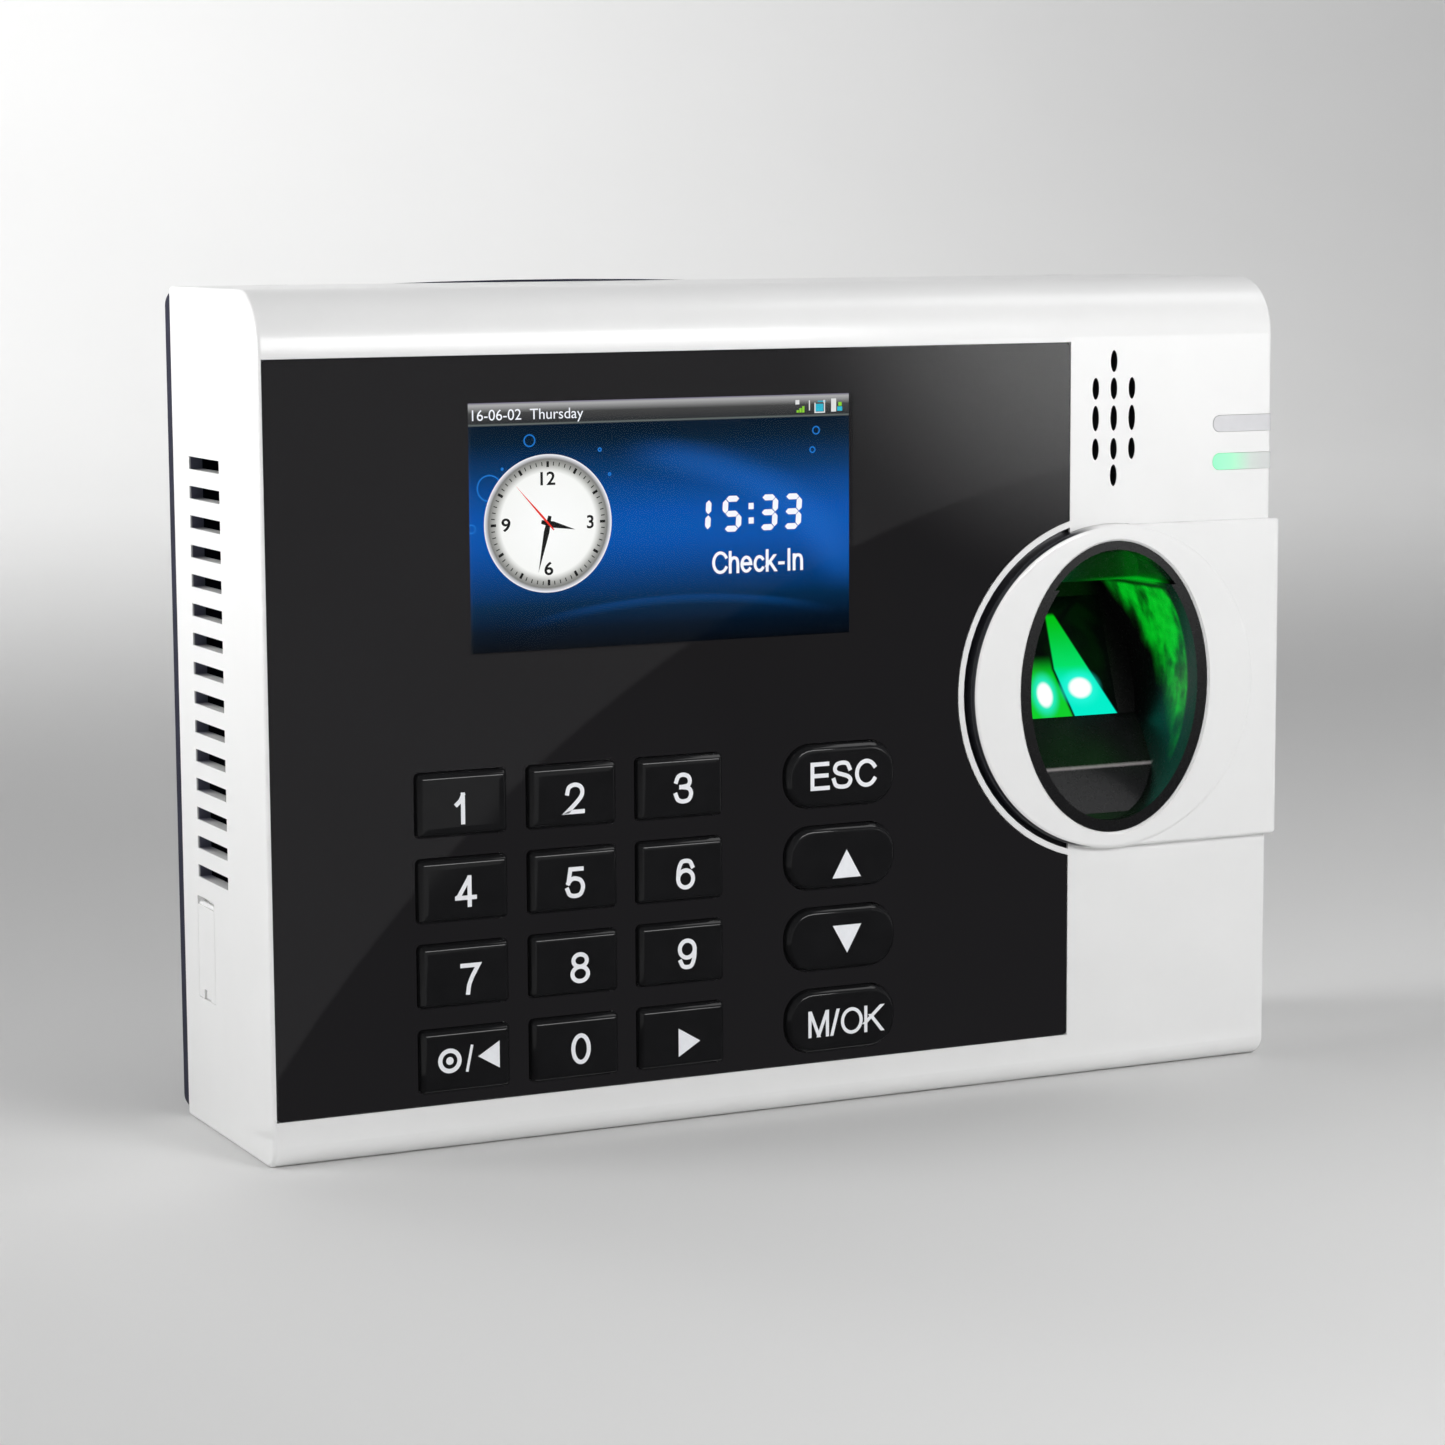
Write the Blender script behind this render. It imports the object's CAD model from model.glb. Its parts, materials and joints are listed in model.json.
"""Looks of a wall-mounted fingerprint scanner terminal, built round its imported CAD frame.

Everything is in the frame of the CAD: +X the viewer's right, the front faces -Y, +Z up.
Blender works in metres; the sizes below are in millimetres and are turned over by MM.
"""
import json
import math

import bmesh
import bpy
from mathutils import Matrix, Vector


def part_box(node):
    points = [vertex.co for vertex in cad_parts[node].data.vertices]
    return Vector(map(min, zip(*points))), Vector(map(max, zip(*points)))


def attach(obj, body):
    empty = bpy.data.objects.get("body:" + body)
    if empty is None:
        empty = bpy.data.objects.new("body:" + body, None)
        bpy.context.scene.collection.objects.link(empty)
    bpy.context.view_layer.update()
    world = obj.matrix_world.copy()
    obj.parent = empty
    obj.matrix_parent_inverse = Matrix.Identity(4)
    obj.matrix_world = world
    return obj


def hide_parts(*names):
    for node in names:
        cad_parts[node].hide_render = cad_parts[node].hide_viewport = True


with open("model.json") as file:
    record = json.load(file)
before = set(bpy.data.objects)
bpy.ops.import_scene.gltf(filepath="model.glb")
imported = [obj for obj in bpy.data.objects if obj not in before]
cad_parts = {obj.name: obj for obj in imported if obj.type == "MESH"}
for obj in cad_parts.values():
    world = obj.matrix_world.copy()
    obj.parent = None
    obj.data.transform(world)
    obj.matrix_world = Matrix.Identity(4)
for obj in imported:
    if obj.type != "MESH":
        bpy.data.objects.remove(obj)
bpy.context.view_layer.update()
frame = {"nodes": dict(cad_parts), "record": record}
NODES = frame["nodes"]
MM = 0.001


# ---- places read from the frame, in millimetres ----
def box_mm(node):
    low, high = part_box(node)
    return low / MM, high / MM


def middle(node):
    low, high = box_mm(node)
    return (low + high) / 2


FRONT = -box_mm("front_housing")[0].y   # distance of the shell's front from the wall
LENS_BACK = -box_mm("front_lens")[1].y
LENS_FRONT = -box_mm("front_lens")[0].y
KEY_TOP = -box_mm("key_1")[0].y
GLASS_FRONT = -box_mm("display_glass")[0].y
FLOOR_Z = box_mm("front_housing")[0].z
GUIDE = middle("finger_guide")
BEZEL_FRONT = -box_mm("sensor_bezel")[0].y
SOUND = middle("speaker")
GUIDE_FRONT = -box_mm("finger_guide")[0].y
PIPE_LEFT = box_mm("light_pipe_lower")[0].x
PIPE_LONG = 10.0                        # from the left end of a light pipe to the shell's side
SIDE_LEFT = box_mm("front_housing")[0].x

WINDOW = (65.8, 38.6)                   # lit area of the display
WINDOW_AT = middle("display_glass")
BAR_TALL = 3.6                          # status bar along the top of the display
CLOCK_AT, CLOCK_R = (WINDOW_AT.x - 19.7, WINDOW_AT.z + 0.4), 10.75
GROOVE_R = 28.1                         # outside of the groove round the scanner's disc
RIM_R = 26.4                            # where the disc's dark rim begins
TAB_LEFT = 50.0                         # where the disc runs into its tab
VENTS_Z, VENTS_HALF = 7.1, 34.5         # middle and half height of the row of vents
VENTS_REAR = -10.9                      # y of the vents' rear ends
SOUND_HALF = (6.5, 13.5)                # half size of the patch of sound holes
CUP_MOUTH, CUP_BACK = -43.5, -25.0      # y where the cup's lit walls begin and end
CUP_CEILING = 15.0                      # z where the cup's wall meets its ceiling
CUP_CREASE = (-38.2, -15.3)             # y and z of the pale edge in the cup's floor
KEY_SKIRT = (1.8, 1.6)                  # how far a key's hidden skirt stands out, both sides together
KEY_SKIRT_TALL = 0.9
KEY_SKIRT_CORNER = 0.3                  # by this the skirt's corners are rounder than the key's
KEY_BEVEL = 0.7
KEY_CORNER, ROUND_KEY_CORNER, SMALLEST_CORNER = 0.7, 4.6, 0.15
NARROW_KEYS = ["key_" + mark for mark in (*"123456789", "left", "0", "right")]
ROUND_KEYS = ["key_esc", "key_up", "key_down", "key_ok"]
BLACK, WHITE = (0.0, 0.0, 0.0), (1.0, 1.0, 1.0)


# ---- shader arithmetic ----
class Field:
    """A number that varies over a surface, with the usual arithmetic made of Math nodes."""

    def __init__(self, tree, socket):
        self.tree = tree
        self.socket = socket

    def math(self, operation, *others):
        node = self.tree.nodes.new("ShaderNodeMath")
        node.operation = operation
        for place, value in enumerate((self, *others)):
            if isinstance(value, Field):
                self.tree.links.new(value.socket, node.inputs[place])
            else:
                node.inputs[place].default_value = value
        return Field(self.tree, node.outputs[0])

    def __add__(self, other):
        return self.math("ADD", other)

    def __sub__(self, other):
        return self.math("SUBTRACT", other)

    def __mul__(self, other):
        return self.math("MULTIPLY", other)

    def rise(self, low, high):
        """0 below low, 1 above high, smooth between."""
        node = self.tree.nodes.new("ShaderNodeMapRange")
        node.interpolation_type = "SMOOTHSTEP"
        self.tree.links.new(self.socket, node.inputs["Value"])
        node.inputs["From Min"].default_value = low
        node.inputs["From Max"].default_value = high
        return Field(self.tree, node.outputs["Result"])

    def fall(self, low, high):
        return self.rise(low, high) * -1.0 + 1.0

    def near(self, centre, inner, outer):
        """1 up to inner away from the centre, 0 from outer on."""
        return (self - centre).math("ABSOLUTE").fall(inner, outer)

    def ramp(self, *stops):
        """A colour for each value between the stops (place, colour)."""
        node = self.tree.nodes.new("ShaderNodeValToRGB")
        self.tree.links.new(self.socket, node.inputs["Fac"])
        elements = node.color_ramp.elements
        while len(elements) < len(stops):
            elements.new(0.5)
        for element, (place, colour) in zip(elements, stops):
            element.position = place
            element.color = (*colour, 1)
        return node.outputs["Color"]


def coordinate_fields(tree, kind):
    """The three numbers of a texture coordinate, and its socket."""
    coordinates = tree.nodes.new("ShaderNodeTexCoord").outputs[kind]
    split = tree.nodes.new("ShaderNodeSeparateXYZ")
    tree.links.new(coordinates, split.inputs[0])
    return [Field(tree, socket) for socket in split.outputs], coordinates


def place_fields(tree):
    """x, y and z of the surface point in millimetres, and the raw coordinate socket."""
    fields, coordinates = coordinate_fields(tree, "Object")
    return [field * (1 / MM) for field in fields], coordinates


def distance(x, z, at_x, at_z):
    """How far the surface point is from (at_x, at_z)."""
    across, along = x - at_x, z - at_z
    return (across * across + along * along).math("SQRT")


def noise(coordinates, size, detail=3.0, stretch=None):
    """Noise whose blotches are about size millimetres across."""
    tree = coordinates.id_data
    if stretch:
        mapping = tree.nodes.new("ShaderNodeMapping")
        mapping.inputs["Scale"].default_value = stretch
        tree.links.new(coordinates, mapping.inputs["Vector"])
        coordinates = mapping.outputs["Vector"]
    node = tree.nodes.new("ShaderNodeTexNoise")
    node.inputs["Scale"].default_value = 1 / (size * MM)
    node.inputs["Detail"].default_value = detail
    tree.links.new(coordinates, node.inputs["Vector"])
    return Field(tree, node.outputs["Fac"])


def blend_colours(factor, first, second):
    """The first colour where factor is 0, the second where it is 1."""
    tree = factor.tree
    node = tree.nodes.new("ShaderNodeMix")
    node.data_type = "RGBA"
    tree.links.new(factor.socket, node.inputs["Factor"])
    for place, colour in (("A", first), ("B", second)):
        socket = next(s for s in node.inputs if s.name == place and s.type == "RGBA")
        if isinstance(colour, tuple):
            socket.default_value = (*colour, 1)
        else:
            tree.links.new(colour, socket)
    return next(s for s in node.outputs if s.type == "RGBA")


def shade(colour, factor):
    return tuple(min(1.0, c * factor) for c in colour)


def sockets(shader, **values):
    names = {"rough": "Roughness", "metal": "Metallic", "ior": "IOR", "coat": "Coat Weight",
             "coat_rough": "Coat Roughness", "through": "Transmission Weight",
             "strength": "Emission Strength", "specular": "Specular IOR Level", "twist": "Anisotropic"}
    for name, value in values.items():
        shader.inputs[names[name]].default_value = value


def surface(name, colour, rough, tone=0.04, tone_size=14.0, grain=0.0, grain_size=0.3,
            rough_spread=0.06, stretch=None, **values):
    """Material with a slightly uneven colour and gloss; grain is a fine relief's depth in millimetres."""
    material = bpy.data.materials.new(name)
    material.use_nodes = True
    tree = material.node_tree
    shader = tree.nodes["Principled BSDF"]
    sockets(shader, **values)
    _, coordinates = place_fields(tree)
    blotches = noise(coordinates, tone_size, stretch=stretch)
    tree.links.new(blotches.ramp((0.3, shade(colour, 1 - tone)), (0.7, shade(colour, 1 + tone))),
                   shader.inputs["Base Color"])
    wear = noise(coordinates, tone_size * 0.35, detail=5.0, stretch=stretch)
    tree.links.new((wear * rough_spread + (rough - rough_spread / 2)).socket, shader.inputs["Roughness"])
    if grain:
        fine = noise(coordinates, grain_size, detail=2.0, stretch=stretch)
        bump = tree.nodes.new("ShaderNodeBump")
        bump.inputs["Strength"].default_value = 1.0
        bump.inputs["Distance"].default_value = grain * MM
        tree.links.new(fine.socket, bump.inputs["Height"])
        tree.links.new(bump.outputs["Normal"], shader.inputs["Normal"])
    return material


def parts_of(material):
    tree = material.node_tree
    fields, coordinates = place_fields(tree)
    return tree, tree.nodes["Principled BSDF"], fields, coordinates


def emit(shader, colour):
    """Makes the surface shine with the colour of a socket."""
    shader.id_data.links.new(colour, shader.inputs["Emission Color"])


def repaint(material, factor, colour):
    """Covers the material's colour by another one where factor is 1."""
    target = material.node_tree.nodes["Principled BSDF"].inputs["Base Color"]
    mixed = blend_colours(factor, target.links[0].from_socket, colour)
    factor.tree.links.new(mixed, target)


def glow(name, colour):
    """Evenly lit print, such as the figures on a display."""
    material = surface(name, shade(colour, 0.05), 0.9, strength=1.0, specular=0.0)
    _, shader, _, coordinates = parts_of(material)
    uneven = noise(coordinates, 2.0)
    emit(shader, uneven.ramp((0.2, shade(colour, 0.96)), (0.8, colour)))
    return material


# ---- materials ----
def housing_white():
    """Pearl white paint; the groove round the scanner's disc holds a dark gasket."""
    material = surface("pearl_white", (0.83, 0.83, 0.825), 0.36, tone=0.012, grain=0.004,
                       grain_size=0.22, coat=0.25, coat_rough=0.12)
    _, _, (x, y, z), _ = parts_of(material)
    gasket = distance(x, z, GUIDE.x, GUIDE.z).fall(GROOVE_R, GROOVE_R + 0.1)
    repaint(material, gasket * y.rise(-FRONT + 0.45, -FRONT + 0.55), (0.012, 0.013, 0.018))
    # dust settles at the rear ends of the vents
    vents = x.rise(SIDE_LEFT + 0.1, SIDE_LEFT + 0.4) * x.fall(SIDE_LEFT + 6.0, SIDE_LEFT + 7.0)
    vents = vents * z.near(VENTS_Z, VENTS_HALF, VENTS_HALF + 0.5)
    dust = vents * y.rise(VENTS_REAR - 6.1, VENTS_REAR - 0.3) * y.fall(VENTS_REAR, VENTS_REAR + 0.1)
    repaint(material, dust, (0.11, 0.11, 0.16))
    # the sound holes are lined with dark mesh
    holes = x.near(SOUND.x, SOUND_HALF[0], SOUND_HALF[0] + 0.1)
    holes = holes * z.near(SOUND.z, SOUND_HALF[1], SOUND_HALF[1] + 0.1)
    repaint(material, holes * y.rise(-FRONT + 0.1, -FRONT + 0.2), (0.008, 0.008, 0.009))
    return material


def bezel_white():
    """White like the shell; the disc's rim above the groove is dark."""
    material = surface("satin_white", (0.83, 0.83, 0.825), 0.33, tone=0.01, grain=0.003,
                       coat=0.3, coat_rough=0.1)
    _, _, (x, y, z), _ = parts_of(material)
    rim = distance(x, z, GUIDE.x, GUIDE.z).rise(RIM_R - 0.1, RIM_R + 0.1)
    rim = rim * y.rise(-BEZEL_FRONT + 0.16, -BEZEL_FRONT + 0.24) * x.fall(TAB_LEFT, TAB_LEFT + 6.0)
    repaint(material, rim, (0.014, 0.015, 0.021))
    return material


def lens_clear():
    """Clear acrylic; over the display its two faces have a coating against reflections."""
    material = surface("clear_acrylic", (0.97, 0.98, 0.98), 0.012, tone=0.004, rough_spread=0.008,
                       through=1.0, ior=1.26)
    tree, shader, (x, y, z), _ = parts_of(material)
    coated = x.near(WINDOW_AT.x, WINDOW[0] / 2, WINDOW[0] / 2 + 0.2)
    coated = coated * z.near(WINDOW_AT.z, WINDOW[1] / 2, WINDOW[1] / 2 + 0.2)
    # the coating of the front is the weaker one
    coated = coated * (y.rise(-LENS_FRONT + 0.3, -LENS_BACK - 0.3) * 0.4 + 0.6)
    tree.links.new(coated.ramp((0.0, WHITE), (1.0, BLACK)), shader.inputs["Specular Tint"])
    return material


def panel_black():
    """Black print behind the lens, with the faint haze such a panel shows in a bright room."""
    material = surface("black_print", (0.0035, 0.0035, 0.0038), 0.8, tone=0.08, tone_size=9.0,
                       strength=1.0, specular=0.0)
    _, shader, _, coordinates = parts_of(material)
    haze = noise(coordinates, 40.0)
    emit(shader, haze.ramp((0.3, (0.0116, 0.0110, 0.0120)), (0.7, (0.0126, 0.0120, 0.0130))))
    return material


def guide_black():
    """Satin black cup; green light from the sensor lies on its right wall and on its ceiling."""
    material = surface("guide_black", (0.009, 0.009, 0.010), 0.27, specular=0.35, tone=0.12,
                       tone_size=3.0, grain=0.006, grain_size=0.25, strength=1.0)
    _, shader, (x, y, z), coordinates = parts_of(material)
    lip = y.fall(-GUIDE_FRONT + 0.7, -GUIDE_FRONT + 1.0)
    repaint(material, lip, (0.005, 0.005, 0.0055))
    deep = y.rise(-37.0, -33.0) * z.rise(-9.0, -7.5)
    repaint(material, deep, (0.003, 0.003, 0.003))
    crease = z.near(CUP_CREASE[1], 0.1, 0.45) * y.near(CUP_CREASE[0], 0.1, 0.6)
    repaint(material, crease, (0.30, 0.27, 0.28))
    # light on the right wall, above a slanting and clouded edge
    cloud = noise(coordinates, 6.0, detail=4.0, stretch=(1.0, 1.5, 0.8))
    fine = noise(coordinates, 1.8, detail=3.0)
    slope, foot, ragged = 1.35, 43.5, 10.0
    edge = z - y * slope - foot + (cloud - 0.5) * ragged
    wall = edge.rise(0.0, 11.0) * x.rise(61.0, 70.0)
    wall = wall * z.fall(CUP_CEILING - 0.6, CUP_CEILING + 0.2) * y.fall(CUP_BACK, CUP_BACK + 4.0)
    wall = wall * y.rise(CUP_MOUTH - 0.3, CUP_MOUTH + 0.7)
    wall = wall * (cloud.rise(0.25, 0.6) * 0.85 + 0.15) * (fine.rise(0.1, 0.8) * 0.45 + 0.55)
    # and on the ceiling, brightest along its seam
    ceiling = z.rise(CUP_CEILING - 0.4, CUP_CEILING + 0.6) * y.rise(CUP_MOUTH - 1.5, CUP_MOUTH + 0.5)
    ceiling = ceiling * y.fall(CUP_BACK - 1.0, CUP_BACK + 3.0) * (x.rise(48.0, 74.0) * 0.10 + 0.04)
    seam = z.near(CUP_CEILING + 0.9, 0.1, 0.8) * x.rise(56.0, 70.0) * y.rise(CUP_MOUTH, CUP_MOUTH + 3.5)
    total = wall * 0.75 + ceiling * 0.55 + seam * 0.35
    emit(shader, total.ramp((0.0, BLACK), (0.2, (0.0, 0.11, 0.004)), (0.55, (0.0, 0.42, 0.012)),
                            (1.0, (0.004, 0.72, 0.03))))
    return material


def prism_lit():
    """Sensor glass: black where it reflects away from the lamps, green to cyan where it is lit."""
    material = surface("sensor_glass", (0.002, 0.004, 0.003), 0.08, tone=0.2, tone_size=3.0,
                       strength=1.0, specular=0.15)
    _, shader, (x, _, z), _ = parts_of(material)
    right_edge = (x + (z + 8.0) * 0.55).fall(70.2, 70.6)
    seam_line = x + z.math("MINIMUM", 0.0) * 0.32
    main = right_edge * seam_line.rise(59.2, 59.6) * z.fall(8.6, 9.4)
    side = seam_line.fall(58.6, 59.2) * x.rise(50.0, 52.0) * z.fall(-1.5, 2.5)
    height = z.rise(-8.0, 9.0)
    cyan = height.ramp((0.0, (0.0, 0.86, 0.60)), (0.3, (0.0, 0.84, 0.50)), (0.5, (0.0, 0.74, 0.14)),
                       (1.0, (0.0, 0.52, 0.006)))
    green = height.ramp((0.0, (0.0, 0.62, 0.02)), (1.0, (0.0, 0.55, 0.02)))
    lit = blend_colours(main, BLACK, cyan)
    lit = blend_colours(side, lit, green)
    # two lamps show in the glass, each with a halo: place, half width and half height
    lamps = ((63.9, -3.4, 2.5, 1.9), (56.7, -4.2, 1.7, 2.3))
    for at_x, at_z, wide, high in lamps:
        away = distance(x * (1 / wide), z * (1 / high), at_x / wide, at_z / high)
        lit = blend_colours(away.fall(0.8, 1.9) * 0.75, lit, (0.02, 0.95, 0.75))
        lit = blend_colours(away.fall(0.7, 1.05), lit, WHITE)
    emit(shader, lit)
    return material


def pipe(name, lit):
    """Light guide set in the shell; a lit one glows at its left end."""
    material = surface(name, (0.60, 0.60, 0.62), 0.3, tone=0.03, tone_size=3.0, strength=1.0, coat=0.2)
    tree, shader, (x, _, _), _ = parts_of(material)
    shader.inputs["Emission Color"].default_value = (*BLACK, 1)
    if lit:
        along = (x - PIPE_LEFT) * (1 / PIPE_LONG)
        tree.links.new(along.ramp((0.0, (0.28, 0.82, 0.48)), (0.35, (0.36, 0.84, 0.54)),
                                  (0.75, (0.62, 0.70, 0.65)), (1.0, (0.62, 0.64, 0.63))),
                       shader.inputs["Base Color"])
        emit(shader, along.ramp((0.0, (0.02, 0.24, 0.10)), (0.4, (0.01, 0.12, 0.05)), (0.8, BLACK)))
    return material


def display_picture():
    """Wallpaper of the display: navy above, bright blue in the middle, black below, with soft arcs."""
    material = surface("display_wallpaper", (0.003, 0.004, 0.006), 0.9, strength=1.0, specular=0.0)
    _, shader, (x, _, z), _ = parts_of(material)
    across = (x - (WINDOW_AT.x - WINDOW[0] / 2)) * (1 / WINDOW[0])
    up = (z - (WINDOW_AT.z - WINDOW[1] / 2)) * (1 / WINDOW[1])
    colour = up.ramp((0.0, (0.0002, 0.0006, 0.0015)), (0.08, (0.0002, 0.0042, 0.013)),
                     (0.18, (0.0002, 0.019, 0.064)), (0.30, (0.0003, 0.048, 0.22)),
                     (0.42, (0.0004, 0.079, 0.39)), (0.48, (0.0004, 0.087, 0.41)),
                     (0.54, (0.0004, 0.079, 0.397)), (0.60, (0.0004, 0.068, 0.31)),
                     (0.66, (0.0004, 0.053, 0.24)), (0.72, (0.0003, 0.036, 0.138)),
                     (0.78, (0.0003, 0.0215, 0.080)), (0.84, (0.0002, 0.011, 0.031)),
                     (0.92, (0.0002, 0.005, 0.015)), (1.0, (0.0002, 0.004, 0.012)))
    # a broad arc on the right, and a thin one low down
    sweep = distance(across, up, 0.37, 0.15)
    band = sweep.rise(0.53, 0.62) * sweep.fall(0.62, 0.73) * across.rise(0.36, 0.58) * up.rise(0.15, 0.35)
    colour = blend_colours(band * 0.38, colour, (0.010, 0.15, 0.64))
    low = distance(across, up, 0.55, -0.91)
    crest = low.rise(1.06, 1.098) * low.fall(1.098, 1.112) * across.rise(0.08, 0.4) * across.fall(0.72, 0.98)
    emit(shader, blend_colours(crest * 0.4, colour, (0.002, 0.07, 0.28)))
    return material


def status_bar():
    """Strip with a bright top edge, grey above its middle and dark below."""
    material = surface("display_bar", (0.004, 0.004, 0.004), 0.9, strength=1.0, specular=0.0)
    _, shader, (_, _, z), _ = parts_of(material)
    down = (z * -1.0 + (WINDOW_AT.z + WINDOW[1] / 2)) * (1 / BAR_TALL)
    emit(shader, down.ramp((0.0, (0.16, 0.14, 0.22)), (0.1, (0.42, 0.42, 0.42)),
                           (0.35, (0.15, 0.15, 0.15)), (0.45, (0.055, 0.055, 0.055)),
                           (0.88, (0.025, 0.027, 0.03)), (0.95, (0.14, 0.16, 0.15)),
                           (1.0, (0.02, 0.03, 0.05))))
    return material


def clock_face():
    """White dial that shades to grey towards its rim."""
    material = surface("clock_face", (0.02, 0.02, 0.02), 0.9, strength=1.0, specular=0.0)
    _, shader, (x, _, z), _ = parts_of(material)
    radius = distance(x, z, *CLOCK_AT) * (1 / CLOCK_R)
    emit(shader, radius.ramp((0.0, WHITE), (0.74, (0.95, 0.95, 0.93)), (0.84, (0.42, 0.42, 0.40)),
                             (0.93, (0.20, 0.20, 0.19)), (0.965, (0.55, 0.55, 0.58)),
                             (1.0, (0.95, 0.95, 1.0))))
    return material


KEY_BLACK = surface("key_black", (0.0095, 0.0095, 0.0102), 0.07, tone=0.1, tone_size=4.0,
                    rough_spread=0.03, ior=1.28)
LEGEND_WHITE = surface("legend_white", (0.86, 0.87, 0.90), 0.4, tone=0.02, tone_size=0.6)
# the material of each slot of the CAD
MATERIALS = {
    "white_plastic": housing_white(),
    "bezel_white": bezel_white(),
    "black_plastic": surface("textured_black", (0.009, 0.010, 0.028), 0.5, tone=0.15, tone_size=5.0,
                             grain=0.03, grain_size=0.5, specular=0.12),
    "plate_steel": surface("zinc_sheet", (0.46, 0.47, 0.48), 0.38, tone=0.1, tone_size=6.0,
                           grain=0.004, grain_size=0.4, metal=1.0),
    "screw_steel": surface("screw_zinc", (0.62, 0.62, 0.60), 0.28, tone=0.08, tone_size=1.5,
                           grain=0.003, metal=1.0),
    "lens_clear": lens_clear(),
    "mask_black": panel_black(),
    "display_glass": surface("display_cell", (0.01, 0.011, 0.014), 0.12, tone=0.1),
    "flex_amber": surface("flex_film", (0.50, 0.22, 0.04), 0.3, tone=0.12, tone_size=3.0,
                          stretch=(1, 1, 0.2)),
    "silicone_grey": surface("silicone", (0.34, 0.34, 0.35), 0.6, tone=0.06, grain=0.004),
    "board_green": surface("solder_mask", (0.015, 0.13, 0.05), 0.3, tone=0.18, tone_size=2.5,
                           grain=0.01, grain_size=0.8),
    "guide_black": guide_black(),
    "prism_glass": prism_lit(),
    "lamp_body": surface("lamp_resin", (0.72, 0.86, 0.74), 0.25, tone=0.05, tone_size=1.0),
    "speaker_body": surface("speaker_cone", (0.025, 0.025, 0.027), 0.6, tone=0.2, tone_size=1.0,
                            grain=0.02),
    "pipe_clear": pipe("pipe_unlit", False),
    "pipe_green": pipe("pipe_lit", True),
    "battery_wrap": surface("battery_wrap", (0.03, 0.10, 0.36), 0.25, tone=0.08, tone_size=4.0,
                            grain=0.01, grain_size=2.0, coat=0.4),
    "chip_black": surface("chip_resin", (0.018, 0.018, 0.018), 0.5, tone=0.15, tone_size=1.0,
                          grain=0.004),
    "cell_steel": surface("cell_nickel", (0.66, 0.65, 0.63), 0.25, tone=0.05, tone_size=1.0,
                          metal=1.0, twist=0.4),
    "label_silver": surface("label_foil", (0.52, 0.53, 0.54), 0.35, tone=0.03, tone_size=2.0,
                            grain=0.003, metal=0.6),
    "jack_black": surface("jack_resin", (0.02, 0.02, 0.021), 0.4, tone=0.12, tone_size=1.5, grain=0.005),
    "terminal_green": surface("terminal_resin", (0.03, 0.27, 0.08), 0.4, tone=0.08, tone_size=2.0,
                              grain=0.005),
    "socket_metal": surface("socket_nickel", (0.70, 0.69, 0.66), 0.22, tone=0.05, tone_size=1.5,
                            metal=1.0),
    "plunger_white": surface("plunger_resin", (0.76, 0.76, 0.74), 0.4, tone=0.03, tone_size=1.0),
    "button_red": surface("button_red", (0.52, 0.035, 0.03), 0.4, tone=0.06, tone_size=1.0),
    "key_black": KEY_BLACK,
}
SLOT_OF = {part["node"]: part["material_slot"] for part in frame["record"]["subparts"]}


def paint_nodes():
    for name, node in NODES.items():
        node.data.materials.clear()
        node.data.materials.append(MATERIALS[SLOT_OF[name]])


# ---- mesh building ----
SHARP_ANGLE = 60                        # edges of a smooth piece bent by more than this stay sharp
WELD = 1e-7                             # points of a mesh closer than this, in metres, become one


def placed(name, data):
    """New object in the scene."""
    item = bpy.data.objects.new(name, data)
    bpy.context.scene.collection.objects.link(item)
    return item


def new_piece(name, points, faces, material, body, slot, smooth=False):
    """Mesh from points (x, depth, z) in millimetres, where depth is the distance from the wall."""
    mesh = bpy.data.meshes.new(name)
    mesh.from_pydata([(x * MM, -d * MM, z * MM) for x, d, z in points], [], faces)
    return finish_piece(name, mesh, material, body, slot, smooth)


def finish_piece(name, mesh, material, body, slot, smooth=False):
    work = bmesh.new()
    work.from_mesh(mesh)
    bmesh.ops.remove_doubles(work, verts=work.verts, dist=WELD)
    bmesh.ops.recalc_face_normals(work, faces=work.faces)
    work.to_mesh(mesh)
    work.free()
    piece = placed(name, mesh)
    mesh.materials.append(material)
    if smooth:
        mesh.shade_smooth()
        mesh.set_sharp_from_angle(angle=math.radians(SHARP_ANGLE))
    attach(piece, body)
    return piece


def rounded_outline(size, radius, steps=7):
    """Corner-rounded rectangle as (x, z) points, anticlockwise from the right."""
    half_x, half_z = size[0] / 2 - radius, size[1] / 2 - radius
    points = []
    for quarter, (sx, sz) in enumerate(((1, 1), (-1, 1), (-1, -1), (1, -1))):
        for step in range(steps):
            angle = math.radians(90) * (quarter + step / (steps - 1))
            points.append((sx * half_x + radius * math.cos(angle), sz * half_z + radius * math.sin(angle)))
    return points


def stack(rings):
    """Points and faces of a closed solid through rings of equal length, each a list of (x, depth, z)."""
    count = len(rings[0])
    points = [p for ring in rings for p in ring]
    faces = [list(range(count)), [len(points) - count + i for i in range(count)]]
    for level in range(len(rings) - 1):
        for i in range(count):
            a, b = level * count + i, level * count + (i + 1) % count
            faces.append([a, b, b + count, a + count])
    return points, faces


def slab(outline, depth, thick):
    """Flat plate with the (x, z) outline, its back at depth."""
    return stack([[(x, depth, z) for x, z in outline], [(x, depth + thick, z) for x, z in outline]])


def joined(*solids):
    """Several solids as one list of points and one of faces."""
    points, faces = [], []
    for more_points, more_faces in solids:
        faces += [[i + len(points) for i in face] for face in more_faces]
        points += more_points
    return points, faces


# ---- keys ----
# how far in and how far below the top each step of a key's bevel lies, in parts of KEY_BEVEL
BEVEL_CURVE = ((0.0, 1.25), (0.05, 1.0), (0.2, 0.75), (0.75, 0.2), (0.95, 0.06), (1.25, 0.0), (2.2, 0.0))


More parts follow.
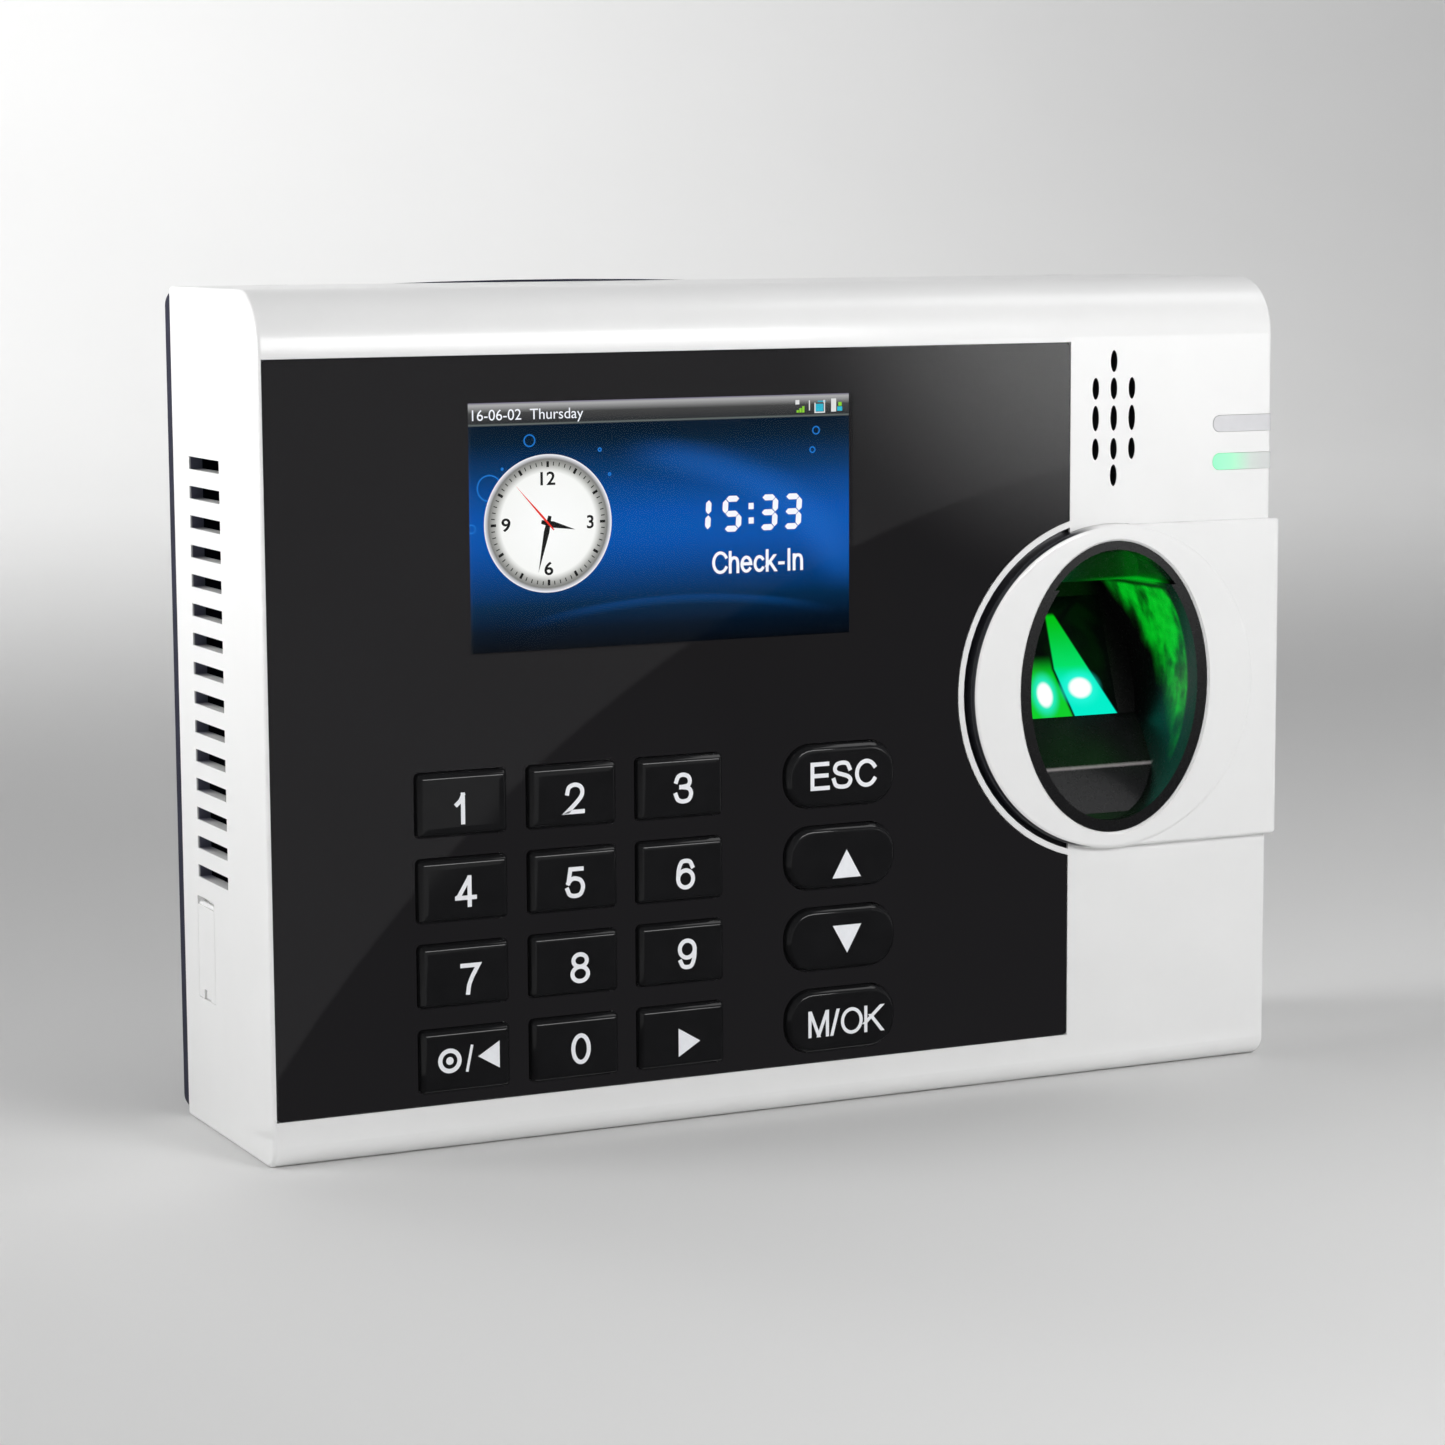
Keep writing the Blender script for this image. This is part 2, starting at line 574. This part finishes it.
def key_cap(name, radius):
    """Cap with softly rounded bevels all round and a skirt under the shell."""
    low, high = box_mm(name)
    centre = (low + high) / 2
    skirt = (high.x - low.x, high.z - low.z)
    size = (skirt[0] - KEY_SKIRT[0], skirt[1] - KEY_SKIRT[1])
    back = -high.y
    rings = []

    def ring(ring_size, ring_radius, depth):
        outline = rounded_outline(ring_size, ring_radius)
        rings.append([(centre.x + x, depth, centre.z + z) for x, z in outline])

    for depth in (back, back + KEY_SKIRT_TALL):
        ring(skirt, radius + KEY_SKIRT_CORNER, depth)
    ring(size, radius, back + KEY_SKIRT_TALL)
    for share, down in BEVEL_CURVE:
        inset = KEY_BEVEL * share
        top_size = (size[0] - 2 * inset, size[1] - 2 * inset)
        ring(top_size, max(radius - inset, SMALLEST_CORNER), KEY_TOP - KEY_BEVEL * down)
    cap = new_piece(name + "_cap", *stack(rings), KEY_BLACK, name, "key_black", smooth=True)
    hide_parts(name)


def lettering(name, text, height, width, centre, depth, material, weight=0.0):
    """Small text on the display: height of a capital, full width, centre (x, z), all in millimetres."""
    curve = bpy.data.curves.new(name, "FONT")
    curve.body = text
    curve.resolution_u = 6
    curve.offset = weight
    curve.extrude = 0.5
    source = placed(name + "_source", curve)
    bpy.context.view_layer.update()
    mesh = bpy.data.meshes.new_from_object(source)
    bpy.data.objects.remove(source)
    low, high = [[pick(v.co[axis] for v in mesh.vertices) for axis in range(3)] for pick in (min, max)]
    scale_x = width / (high[0] - low[0])
    scale_y = height / (high[1] - low[1])
    for v in mesh.vertices:
        x = centre[0] + (v.co.x - (high[0] + low[0]) / 2) * scale_x
        z = centre[1] + (v.co.y - (high[1] + low[1]) / 2) * scale_y
        front = THIN if v.co.z > (high[2] + low[2]) / 2 else 0.0
        v.co = Vector((x, -(depth + front), z)) * MM
    mesh.materials.clear()
    finish_piece(name, mesh, material, *SCREEN)


def ribbon(path, width, depth, thick, closed=False):
    """Flat stroke of even width along a path of (x, z) points, mitred at its corners."""
    points = [Vector(p) for p in path]
    count = len(points)
    sections = []
    for i, point in enumerate(points):
        before = points[i - 1] if closed or i else None
        after = points[(i + 1) % count] if closed or i < count - 1 else None
        ways = [(b - a).normalized() for a, b in ((before, point), (point, after)) if a and b]
        across = sum((Vector((-way.y, way.x)) for way in ways), Vector((0, 0))).normalized()
        reach = width / 2 / max(0.35, across.dot(Vector((-ways[0].y, ways[0].x))))
        left, right = point + across * reach, point - across * reach
        sections.append([(left.x, depth, left.y), (right.x, depth, right.y),
                         (right.x, depth + thick, right.y), (left.x, depth + thick, left.y)])
    vertices = [corner for section in sections for corner in section]
    faces = [] if closed else [[0, 1, 2, 3], [4 * count - 4 + i for i in range(4)]]
    for i in range(count if closed else count - 1):
        here, there = 4 * i, 4 * ((i + 1) % count)
        faces += [[here + k, here + (k + 1) % 4, there + (k + 1) % 4, there + k] for k in range(4)]
    return vertices, faces


def bow(at_x, at_z, half_x, half_z, start, end, steps=18):
    """Part of an ellipse; angles in degrees, anticlockwise from the right."""
    turns = [math.radians(start + (end - start) * i / steps) for i in range(steps + 1)]
    return [(at_x + half_x * math.cos(turn), at_z + half_z * math.sin(turn)) for turn in turns]


def smooth(*knots, steps=6):
    """Curve through the knots."""
    ends = [knots[0], *knots, knots[-1]]
    path = []
    for a, b, c, d in zip(ends, ends[1:], ends[2:], ends[3:]):
        for step in range(steps):
            t = step / steps
            path.append(tuple(0.5 * (2 * q + (r - p) * t + (2 * p - 5 * q + 4 * r - w) * t * t
                                     + (3 * q - p - 3 * r + w) * t ** 3) for p, q, r, w in zip(a, b, c, d)))
    return path + [knots[-1]]


# Centre lines of the figures and capitals in a box one wide and one high. A ring is closed.
RING, LINE, SLANT = "ring", "line", "slant"


def oval(at_x, at_z, half_x, half_z):
    return (RING, bow(at_x, at_z, half_x, half_z, 0, 350, 35))


STEM = (LINE, [(0.0, 0.0), (0.0, 1.0)])
SIX_BACK = smooth((0.02, 0.36), (0.06, 0.68), (0.24, 0.95), (0.54, 1.0), (0.80, 0.95), (0.95, 0.78))
ARCH = smooth((0.0, 0.44), (0.16, 0.64), (0.52, 0.72), (0.88, 0.64), (1.0, 0.42)) + [(1.0, 0.0)]
GLYPHS = {
    "0": [oval(0.5, 0.5, 0.5, 0.5)],
    "1": [(LINE, [(1.0, 0.0), (1.0, 1.0)]), (LINE, smooth((0.98, 0.98), (0.62, 0.80), (0.0, 0.66)))],
    "2": [(LINE, smooth((0.02, 0.70), (0.14, 0.92), (0.5, 1.0), (0.86, 0.92), (0.98, 0.72), (0.86, 0.52),
                        (0.45, 0.25), (0.0, 0.0)) + [(1.0, 0.0)])],
    "3": [(LINE, smooth((0.03, 0.76), (0.17, 0.94), (0.47, 1.0), (0.80, 0.93), (0.92, 0.76), (0.80, 0.59),
                        (0.36, 0.54))),
          (LINE, smooth((0.36, 0.54), (0.84, 0.48), (1.0, 0.28), (0.84, 0.06), (0.47, 0.0), (0.14, 0.07),
                        (0.0, 0.26)))],
    "4": [(LINE, [(0.74, 0.0), (0.74, 1.0)]), (LINE, [(0.66, 0.93), (0.06, 0.32)]),
          (LINE, [(-0.04, 0.27), (1.06, 0.27)])],
    "5": [(LINE, [(0.92, 1.0), (0.20, 1.0), (0.07, 0.50)]),
          (LINE, smooth((0.07, 0.50), (0.26, 0.62), (0.52, 0.65), (0.86, 0.56), (1.0, 0.33), (0.84, 0.07),
                        (0.48, 0.0), (0.15, 0.06), (0.0, 0.25)))],
    "6": [oval(0.51, 0.32, 0.49, 0.32), (LINE, SIX_BACK)],
    "7": [(LINE, [(0.0, 1.0), (1.0, 1.0)] + smooth((0.64, 0.62), (0.42, 0.30), (0.34, 0.0)))],
    "8": [oval(0.5, 0.77, 0.43, 0.23), oval(0.5, 0.27, 0.5, 0.27)],
    "9": [oval(0.49, 0.68, 0.49, 0.32), (LINE, [(1 - x, 1 - z) for x, z in SIX_BACK])],
    "E": [(LINE, [(1.0, 1.0), (0.0, 1.0), (0.0, 0.0), (1.03, 0.0)]), (LINE, [(0.0, 0.52), (0.95, 0.52)])],
    "S": [(LINE, smooth((0.95, 0.74), (0.80, 0.95), (0.5, 1.0), (0.18, 0.94), (0.06, 0.76), (0.18, 0.60),
                        (0.52, 0.51), (0.86, 0.41), (1.0, 0.25), (0.84, 0.05), (0.5, 0.0), (0.14, 0.07),
                        (0.0, 0.30)))],
    "C": [(LINE, bow(0.54, 0.5, 0.54, 0.5, 33, 327, 30))],
    "M": [STEM, (LINE, [(1.0, 0.0), (1.0, 1.0)]), (SLANT, [(0.04, 1.0), (0.5, 0.0)]),
          (SLANT, [(0.5, 0.0), (0.96, 1.0)])],
    "/": [(SLANT, [(0.0, 0.0), (1.0, 1.0)])],
    "O": [oval(0.5, 0.5, 0.5, 0.5)],
    "K": [STEM, (SLANT, [(0.0, 0.36), (0.95, 1.0)]), (SLANT, [(0.34, 0.62), (1.0, 0.0)])],
    "h": [STEM, (LINE, ARCH)],
    "e": [(LINE, [(0.06, 0.38), (1.0, 0.38)] + bow(0.5, 0.36, 0.5, 0.36, 4, 318))],
    "c": [(LINE, bow(0.54, 0.36, 0.54, 0.36, 42, 318))],
    "k": [STEM, (SLANT, [(0.02, 0.26), (0.86, 0.72)]), (SLANT, [(0.32, 0.44), (1.0, 0.0)])],
    "-": [(LINE, [(0.12, 0.34), (0.88, 0.34)])],
    "I": [(LINE, [(0.5, 0.0), (0.5, 1.0)])],
    "n": [(LINE, [(0.0, 0.0), (0.0, 0.72)]), (LINE, ARCH)],
}
HAIR = 0.006                            # how far each stroke of a figure stands above the one before


def glyph(letter, left, bottom, size, weight, depth, thick):
    """Solids of one figure; left, bottom and size are of its outside."""
    x0, z0 = left + weight / 2, bottom + weight / 2
    wide, tall = size[0] - weight, size[1] - weight
    solids = []
    for number, (kind, path) in enumerate(GLYPHS[letter]):
        # strokes that cross share no surface
        front = thick + HAIR * number
        path = [(x0 + x * wide, z0 + z * tall) for x, z in path]
        if kind == SLANT:
            (ax, az), (bx, bz) = path
            half = weight / 2 * math.hypot(bx - ax, bz - az) / abs(bz - az)
            end = math.copysign(weight / 2, bz - az)
            lean = (bx - ax) / (bz - az) * end
            outline = [(ax - half - lean, az - end), (ax + half - lean, az - end),
                       (bx + half + lean, bz + end), (bx - half + lean, bz + end)]
            solids.append(slab(outline, depth, front))
        else:
            if kind == LINE:
                # butt ends reach the outside of the box
                first = Vector(path[0]) - Vector(path[1])
                last = Vector(path[-1]) - Vector(path[-2])
                path[0] = tuple(Vector(path[0]) + first.normalized() * weight * 0.5)
                path[-1] = tuple(Vector(path[-1]) + last.normalized() * weight * 0.5)
            solids.append(ribbon(path, weight, depth, front, closed=kind == RING))
    return solids


def word(letters, widths, gap, height, weight, centre, depth, thick):
    """Solids of a word centred at (x, z)."""
    left = centre[0] - (sum(widths) + gap * (len(widths) - 1)) / 2
    solids = []
    for letter, width in zip(letters, widths):
        solids += glyph(letter, left, centre[1] - height / 2, (width, height), weight, depth, thick)
        left += width + gap
    return joined(*solids)


def key_print(name, solid, key):
    """Print that rides on a key."""
    new_piece(name, *solid, LEGEND_WHITE, key, "key_black")


def legend(name, letters, widths, gap, height, weight, centre, key):
    """Printed word on a key."""
    key_print(name, word(letters, widths, gap, height, weight, centre, KEY_TOP, PRINT), key)


def triangle(centre, size, turn):
    """Three-cornered arrow; turn 0 points up."""
    half, tall = size[0] / 2, size[1] / 2
    corners = [(0, tall), (-half, -tall), (half, -tall)]
    c, s = math.cos(turn), math.sin(turn)
    return [(centre[0] + x * c - z * s, centre[1] + x * s + z * c) for x, z in corners]


def disc(centre, radius, steps=40):
    turns = [math.tau * i / steps for i in range(steps)]
    return [(centre[0] + radius * math.cos(turn), centre[1] + radius * math.sin(turn)) for turn in turns]


def annulus(centre, inner, outer, depth, thick, steps=64):
    """Flat washer as points and faces."""
    rings = [[(x, d, z) for x, z in disc(centre, r, steps)]
             for r, d in ((inner, depth), (outer, depth), (outer, depth + thick), (inner, depth + thick))]
    points = [p for ring in rings for p in ring]
    faces = []
    for level in range(4):
        below, above = level * steps, (level + 1) % 4 * steps
        for i in range(steps):
            j = (i + 1) % steps
            faces.append([below + i, below + j, above + j, above + i])
    return points, faces


def bar_outline(start, end, width):
    """Straight stroke from start to end."""
    a, b = Vector(start), Vector(end)
    side = Vector((a.y - b.y, b.x - a.x)).normalized() * width / 2
    return [tuple(a + side), tuple(a - side), tuple(b - side), tuple(b + side)]


PRINT = 0.03                            # height of the print on the keys
FIGURE, WEIGHT = (3.35, 4.95), 0.68     # width and height of a figure, width of its strokes
NARROW_ONE = 0.5                        # width of a 1, in parts of the other figures' width


def legends():
    """Print on every key."""
    # centre of each figure from the centre of its key
    shifts = {"key_1": (-0.6, -0.65), "key_2": (0.1, -0.4), "key_3": (0.3, -0.1), "key_4": (0.15, -0.25),
              "key_5": (0.0, -0.35), "key_6": (0.55, -0.55), "key_7": (0.75, -0.65), "key_8": (0.7, -0.6),
              "key_9": (0.8, -0.05), "key_0": (0.7, -0.2)}
    for key, shift in shifts.items():
        at = middle(key)
        figure = key[-1]
        width = FIGURE[0] * (NARROW_ONE if figure == "1" else 1.0)
        centre = (at.x + shift[0], at.z + shift[1])
        legend("legend_" + figure, figure, [width], 0, FIGURE[1], WEIGHT, centre, key)
    at = middle("key_esc")
    legend("legend_esc", "ESC", [3.4, 3.7, 3.9], 0.5, 4.6, WEIGHT, (at.x + 0.25, at.z + 0.1), "key_esc")
    at = middle("key_ok")
    widths, centre = [3.75, 1.6, 4.0, 3.45], (at.x + 0.6, at.z - 0.35)
    legend("legend_ok", "M/OK", widths, 0.3, 4.4, WEIGHT - 0.12, centre, "key_ok")
    arrows = (("key_up", (0.8, -1.1), (5.2, 4.6), 0.0), ("key_down", (0.85, -0.1), (5.2, 4.6), math.pi),
              ("key_right", (1.05, -0.95), (4.6, 3.8), -math.pi / 2))
    for key, shift, size, turn in arrows:
        at = middle(key)
        outline = triangle((at.x + shift[0], at.z + shift[1]), size, turn)
        key_print("legend_" + key[4:], slab(outline, KEY_TOP, PRINT), key)
    # the back key: a ring with a dot, a stroke and an arrow to the left
    at = middle("key_left")
    ring_at = (at.x - 2.9, at.z + 0.1)
    stroke = bar_outline((at.x - 0.05, at.z - 1.9), (at.x + 0.85, at.z + 2.3), 0.45)
    arrow = triangle((at.x + 3.65, at.z + 0.35), (4.3, 3.6), math.pi / 2)
    flat = [slab(outline, KEY_TOP, PRINT) for outline in (disc(ring_at, 0.62, 24), stroke, arrow)]
    key_print("legend_left", joined(annulus(ring_at, 1.25, 1.95, KEY_TOP, PRINT), *flat), "key_left")


# ---- display ----
PICTURE = GLASS_FRONT + 0.005           # the picture lies on the front of the display
LAYER = 0.012                           # each layer of the picture stands this much in front of the last
THIN = LAYER * 0.5                      # thickness of a layer
SCREEN = ("terminal", "display_glass")  # body and slot of every piece of the picture


def layer(number):
    return PICTURE + number * LAYER


def rectangle(low, high):
    return [(low[0], low[1]), (high[0], low[1]), (high[0], high[1]), (low[0], high[1])]


def screen_piece(name, solid, material):
    new_piece(name, *solid, material, *SCREEN)


def sheets(outlines, number):
    """Flat shapes in one layer of the picture."""
    return joined(*[slab(outline, layer(number), THIN) for outline in outlines])


def segment_figure(figure, left, bottom, size, stroke):
    """Strokes of a seven-segment figure as six-cornered bars."""
    wide, tall = size
    lit = {"1": "bc", "5": "afgcd", "3": "abgcd"}[figure]
    lean, gap = 0.06, 0.08
    joints = {"a": ((0, 2), (1, 2)), "b": ((1, 2), (1, 1)), "c": ((1, 1), (1, 0)), "d": ((0, 0), (1, 0)),
              "f": ((0, 2), (0, 1)), "g": ((0, 1), (1, 1))}
    bars = []
    for letter in lit:
        ends = []
        for i, j in joints[letter]:
            x = left + stroke / 2 + i * (wide - stroke)
            z = bottom + stroke / 2 + j * (tall - stroke) / 2
            ends.append(Vector((x + (z - bottom) * lean, z)))
        along = (ends[1] - ends[0]).normalized()
        side = Vector((-along.y, along.x)) * stroke / 2
        a, b = ends[0] + along * gap, ends[1] - along * gap
        tip = along * stroke / 2
        corners = (a, a + tip + side, b - tip + side, b, b - tip - side, a + tip - side)
        bars.append([tuple(corner) for corner in corners])
    return bars


def clock_hand(angle, length, tail, width, number):
    """Tapering hand in a layer of the picture; the angle is clockwise from twelve."""
    turn = math.radians(angle)
    along = Vector((math.sin(turn), math.cos(turn)))
    side = Vector((along.y, -along.x)) * width
    centre = Vector(CLOCK_AT)
    end, widest = centre - along * tail, centre + along * length * 0.18
    tip = centre + along * length
    corners = (end + side * 0.3, widest + side / 2, tip, widest - side / 2, end - side * 0.3)
    return sheets([[tuple(corner) for corner in corners]], number)


def wallpaper(left, right, bottom, top):
    """Picture behind everything else, with the bar along its top and a few bubbles."""
    margin = 0.3
    whole = rectangle((left - margin, bottom - margin), (right + margin, top + margin))
    screen_piece("display_picture", sheets([whole], 0), display_picture())
    bar = rectangle((left - margin, top - BAR_TALL), (right + margin, top))
    screen_piece("display_bar", sheets([bar], 1), status_bar())
    # bubbles: places in parts of the window, and radii
    bubbles = ((0.155, 0.845, 1.0), (0.052, 0.66, 2.1), (0.006, 0.5, 0.75), (0.335, 0.80, 0.35),
               (0.36, 0.70, 0.3), (0.085, 0.735, 0.25), (0.91, 0.85, 0.7), (0.90, 0.77, 0.55))
    rings = [annulus((left + WINDOW[0] * u, bottom + WINDOW[1] * v), r - 0.22, r, layer(1), THIN, 32)
             for u, v, r in bubbles]
    screen_piece("display_bubbles", joined(*rings), glow("display_bubble", (0.012, 0.18, 0.62)))


def clock(ink):
    """Dial with minute marks, four figures and three hands."""
    screen_piece("clock_dial", sheets([disc(CLOCK_AT, CLOCK_R, 96)], 2), clock_face())
    marks = []
    for minute in range(60):
        turn = math.radians(minute * 6)
        along = Vector((math.sin(turn), math.cos(turn)))
        inner, outer, wide = (9.0, 9.6, 0.15) if minute % 5 else (8.75, 9.65, 0.42)
        centre = Vector(CLOCK_AT)
        marks.append(bar_outline(centre + along * inner, centre + along * outer, wide))
    screen_piece("clock_marks", sheets(marks, 3), ink)
    figures = (("12", 0.0, 7.0, 2.5), ("3", 7.1, 0.0, 1.15), ("6", 0.0, -7.0, 1.5), ("9", -7.1, 0.0, 1.5))
    for figure, dx, dz, wide in figures:
        centre = (CLOCK_AT[0] + dx, CLOCK_AT[1] + dz)
        lettering("clock_" + figure, figure, 2.1, wide, centre, layer(3), ink, weight=0.018)
    hands = joined(clock_hand(103.5, 4.7, 1.2, 1.0, 4), clock_hand(193, 7.8, 1.2, 0.95, 4))
    screen_piece("clock_hands", hands, ink)
    red = glow("second_hand", (0.85, 0.03, 0.02))
    screen_piece("clock_second_hand", clock_hand(318, 8.3, 1.4, 0.36, 5), red)


def writing(x0, z0, text):
    """Figures of the time and the word under them; x0 and z0 are near the middle of the window."""
    bars = []
    for figure, at in (("1", 4.4), ("5", 9.8), ("3", 16.2), ("3", 20.45)):
        bars += segment_figure(figure, x0 + at, z0 - 1.95, (3.4, 5.7), 0.95)
    for up in (-0.3, 2.0):
        bars.append(rectangle((x0 + 14.6, z0 + up - 0.5), (x0 + 15.5, z0 + up + 0.5)))
    screen_piece("display_time", sheets(bars, 2), text)
    widths = [2.7, 1.85, 2.1, 1.95, 1.9, 1.35, 0.9, 1.85]
    status = word("Check-In", widths, 0.22, 3.6, 0.5, (x0 + 16.2, z0 - 6.8), layer(2), THIN)
    screen_piece("display_status", status, text)


def icons(right, top):
    """Small signs in the bar: how far left of and below its right end each block begins and ends."""
    def icon(name, colour, *blocks):
        outlines = [rectangle((right - a, top - b), (right - c, top - d)) for a, b, c, d in blocks]
        screen_piece(name, sheets(outlines, 2), glow(name, colour))

    icon("icon_white", (0.75, 0.75, 0.75), (9.6, 1.6, 8.9, 0.9), (7.2, 2.6, 7.0, 1.0), (4.6, 1.4, 4.3, 1.0),
         (6.2, 3.0, 6.0, 1.4), (4.5, 3.0, 4.3, 1.4), (6.2, 3.05, 4.3, 2.85), (3.2, 2.9, 2.3, 0.8))
    icon("icon_green", (0.25, 0.62, 0.04), (9.4, 2.9, 9.0, 2.5), (8.9, 2.9, 8.5, 2.2), (8.4, 2.9, 8.0, 1.9),
         (1.9, 2.0, 1.3, 1.4))
    icon("icon_cyan", (0.03, 0.45, 0.62), (6.0, 2.8, 4.6, 1.6), (5.6, 1.3, 4.2, 1.1), (2.1, 2.8, 1.2, 2.1))


def display():
    left, right = WINDOW_AT.x - WINDOW[0] / 2, WINDOW_AT.x + WINDOW[0] / 2
    bottom, top = WINDOW_AT.z - WINDOW[1] / 2, WINDOW_AT.z + WINDOW[1] / 2
    text = glow("display_text", (0.93, 0.94, 1.0))
    ink = glow("display_ink", (0.012, 0.012, 0.012))
    wallpaper(left, right, bottom, top)
    clock(ink)
    writing(WINDOW_AT.x + 0.3, WINDOW_AT.z - 0.2, text)
    date_at = (left + 10.0, top - 2.15)
    lettering("display_date", "16-06-02  Thursday", 2.2, 18.6, date_at, layer(2), text)
    icons(right, top)


# ---- stage: camera, lights, floor ----
CAMERA_AT = Vector((-0.27328, -0.58467, 0.07678))
YAW, PITCH, ROLL = 0.44857, 0.13150, -0.00556
LENS_MM, SENSOR_MM = 94.49, 36.0
BOARD_FOOT, BOARD_SLOPE = 0.0005, 0.10  # height of the reflector's foot above the floor, in metres, and slope
REFLECTOR_STRENGTH = 20.0


def camera():
    """Camera from its place and its three angles in radians."""
    forward = Vector((math.sin(YAW) * math.cos(PITCH), math.cos(YAW) * math.cos(PITCH), -math.sin(PITCH)))
    right = Vector((math.cos(YAW), -math.sin(YAW), 0))
    up = right.cross(forward)
    rolled_right = right * math.cos(ROLL) + up * math.sin(ROLL)
    rolled_up = up * math.cos(ROLL) - right * math.sin(ROLL)
    turn = Matrix((rolled_right, rolled_up, -forward)).transposed()
    data = bpy.data.cameras.new("camera")
    data.lens = LENS_MM
    data.sensor_width = SENSOR_MM
    data.clip_start = 0.01
    item = placed("camera", data)
    item.matrix_world = Matrix.Translation(CAMERA_AT) @ turn.to_4x4()
    bpy.context.scene.camera = item


def area_light(name, at, target, size, watts, spread=180):
    data = bpy.data.lights.new(name, "AREA")
    data.shape = "RECTANGLE"
    data.size, data.size_y = size
    data.energy = watts
    data.spread = math.radians(spread)
    item = placed(name, data)
    item.location = at
    item.rotation_euler = (Vector(target) - Vector(at)).to_track_quat("-Z", "Y").to_euler()
    item.visible_camera = False


def mirrored(x, z):
    """Where a ray from the camera, mirrored in the lens at (x, z), meets the sloping reflector."""
    eye = Vector((CAMERA_AT.x, -2 * LENS_FRONT * MM - CAMERA_AT.y, CAMERA_AT.z))
    point = Vector((x, -LENS_FRONT, z)) * MM
    ray = point - eye
    foot = FLOOR_Z * MM + BOARD_FOOT
    return point + ray * ((foot - BOARD_SLOPE * point.y - point.z) / (ray.z + BOARD_SLOPE * ray.y))


def reflector(wide=(-150.0, 150.0), tall=(-66.0, 96.0), steps=40):
    """Board seen only in polished surfaces: a dark disc on a pale ground, and a bright corner.

    Its texture runs over the lens as the camera sees it mirrored there.
    """
    row = steps + 1
    spots = [(wide[0] + (wide[1] - wide[0]) * i / steps, tall[0] + (tall[1] - tall[0]) * j / steps)
             for j in range(row) for i in range(row)]
    corners = [j * row + i for j in range(steps) for i in range(steps)]
    faces = [(corner, corner + 1, corner + row + 1, corner + row) for corner in corners]
    mesh = bpy.data.meshes.new("reflector")
    mesh.from_pydata([mirrored(x, z) for x, z in spots], [], faces)
    layer_uv = mesh.uv_layers.new(name="lens")
    for loop in mesh.loops:
        layer_uv.data[loop.index].uv = spots[loop.vertex_index]
    item = placed("reflector", mesh)
    item.visible_camera = False
    item.visible_diffuse = False
    item.visible_shadow = False
    item.visible_transmission = False
    mesh.materials.append(reflector_paint())


def reflector_paint():
    """Emission in millimetres of the lens: the dark disc, the pale ground and the bright corner."""
    material = surface("reflector", BLACK, 1.0, strength=REFLECTOR_STRENGTH, specular=0.0)
    tree, shader, _, _ = parts_of(material)
    (x, z, _), _ = coordinate_fields(tree, "UV")
    disc_at, disc_radius, flat = (91.0, -181.4), 221.0, 1.15
    ground = distance(x, z, *disc_at).rise(disc_radius, disc_radius + 0.9)
    corner = distance(x, z * flat, 62.0, 72.0 * flat).fall(18.0, 68.0)
    radiance = (ground * 0.66 + corner * 7.8 + 0.05) * (1 / REFLECTOR_STRENGTH)
    emit(shader, radiance.ramp((0.0, BLACK), (1.0, WHITE)))
    return material


def sky():
    """Studio walls: pale round the horizon and darker overhead."""
    world = bpy.data.worlds.new("studio")
    world.use_nodes = True
    tree = world.node_tree
    (_, _, up), _ = coordinate_fields(tree, "Generated")
    wall = up.ramp((0.0, (0.50, 0.50, 0.505)), (0.35, (0.40, 0.40, 0.405)), (1.0, (0.16, 0.16, 0.165)))
    tree.links.new(wall, tree.nodes["Background"].inputs["Color"])
    bpy.context.scene.world = world


def backdrop():
    """Paper sweep: flat under the terminal, curving up far behind it."""
    floor_z = FLOOR_Z * MM
    front, bend_at, bend, side, top = -2.6, 1.3, 1.2, 3.5, 3.4
    turns = [math.radians(5 * i) for i in range(19)]
    curve = [(bend_at + bend * math.sin(a), floor_z + bend - bend * math.cos(a)) for a in turns]
    profile = [(front, floor_z), *curve, (bend_at + bend, top)]
    points = [(x, y, z) for y, z in profile for x in (-side, side)]
    faces = [(2 * i, 2 * i + 1, 2 * i + 3, 2 * i + 2) for i in range(len(profile) - 1)]
    mesh = bpy.data.meshes.new("floor")
    mesh.from_pydata(points, [], faces)
    mesh.shade_smooth()
    floor = placed("floor", mesh)
    mesh.materials.append(surface("floor_paper", (0.74, 0.74, 0.735), 0.7, tone=0.01, tone_size=300.0))


def stage():
    bpy.context.scene.view_settings.view_transform = "Standard"
    sky()
    backdrop()
    area_light("front_near", (0.14, -0.50, 0.21), (0.02, 0, 0.03), (0.22, 0.16), 1.4)
    area_light("left_near", (-0.55, 0.10, 0.16), (-0.09, -0.02, 0.15), (0.3, 0.16), 0.5, spread=64)
    area_light("left_high", (-0.55, 0.1, 0.75), (-0.09, -0.02, 0.0), (0.35, 0.35), 1.3)
    area_light("overhead", (0.62, -0.2, 0.9), (0.0, -0.04, 0.0), (0.35, 0.35), 1.2)
    area_light("backdrop", (0.0, 0.7, 1.6), (0.0, 2.3, 0.7), (1.5, 0.6), 28, spread=140)


camera()
stage()
reflector()
paint_nodes()
for key in NARROW_KEYS:
    key_cap(key, KEY_CORNER)
for key in ROUND_KEYS:
    key_cap(key, ROUND_KEY_CORNER)
legends()
display()
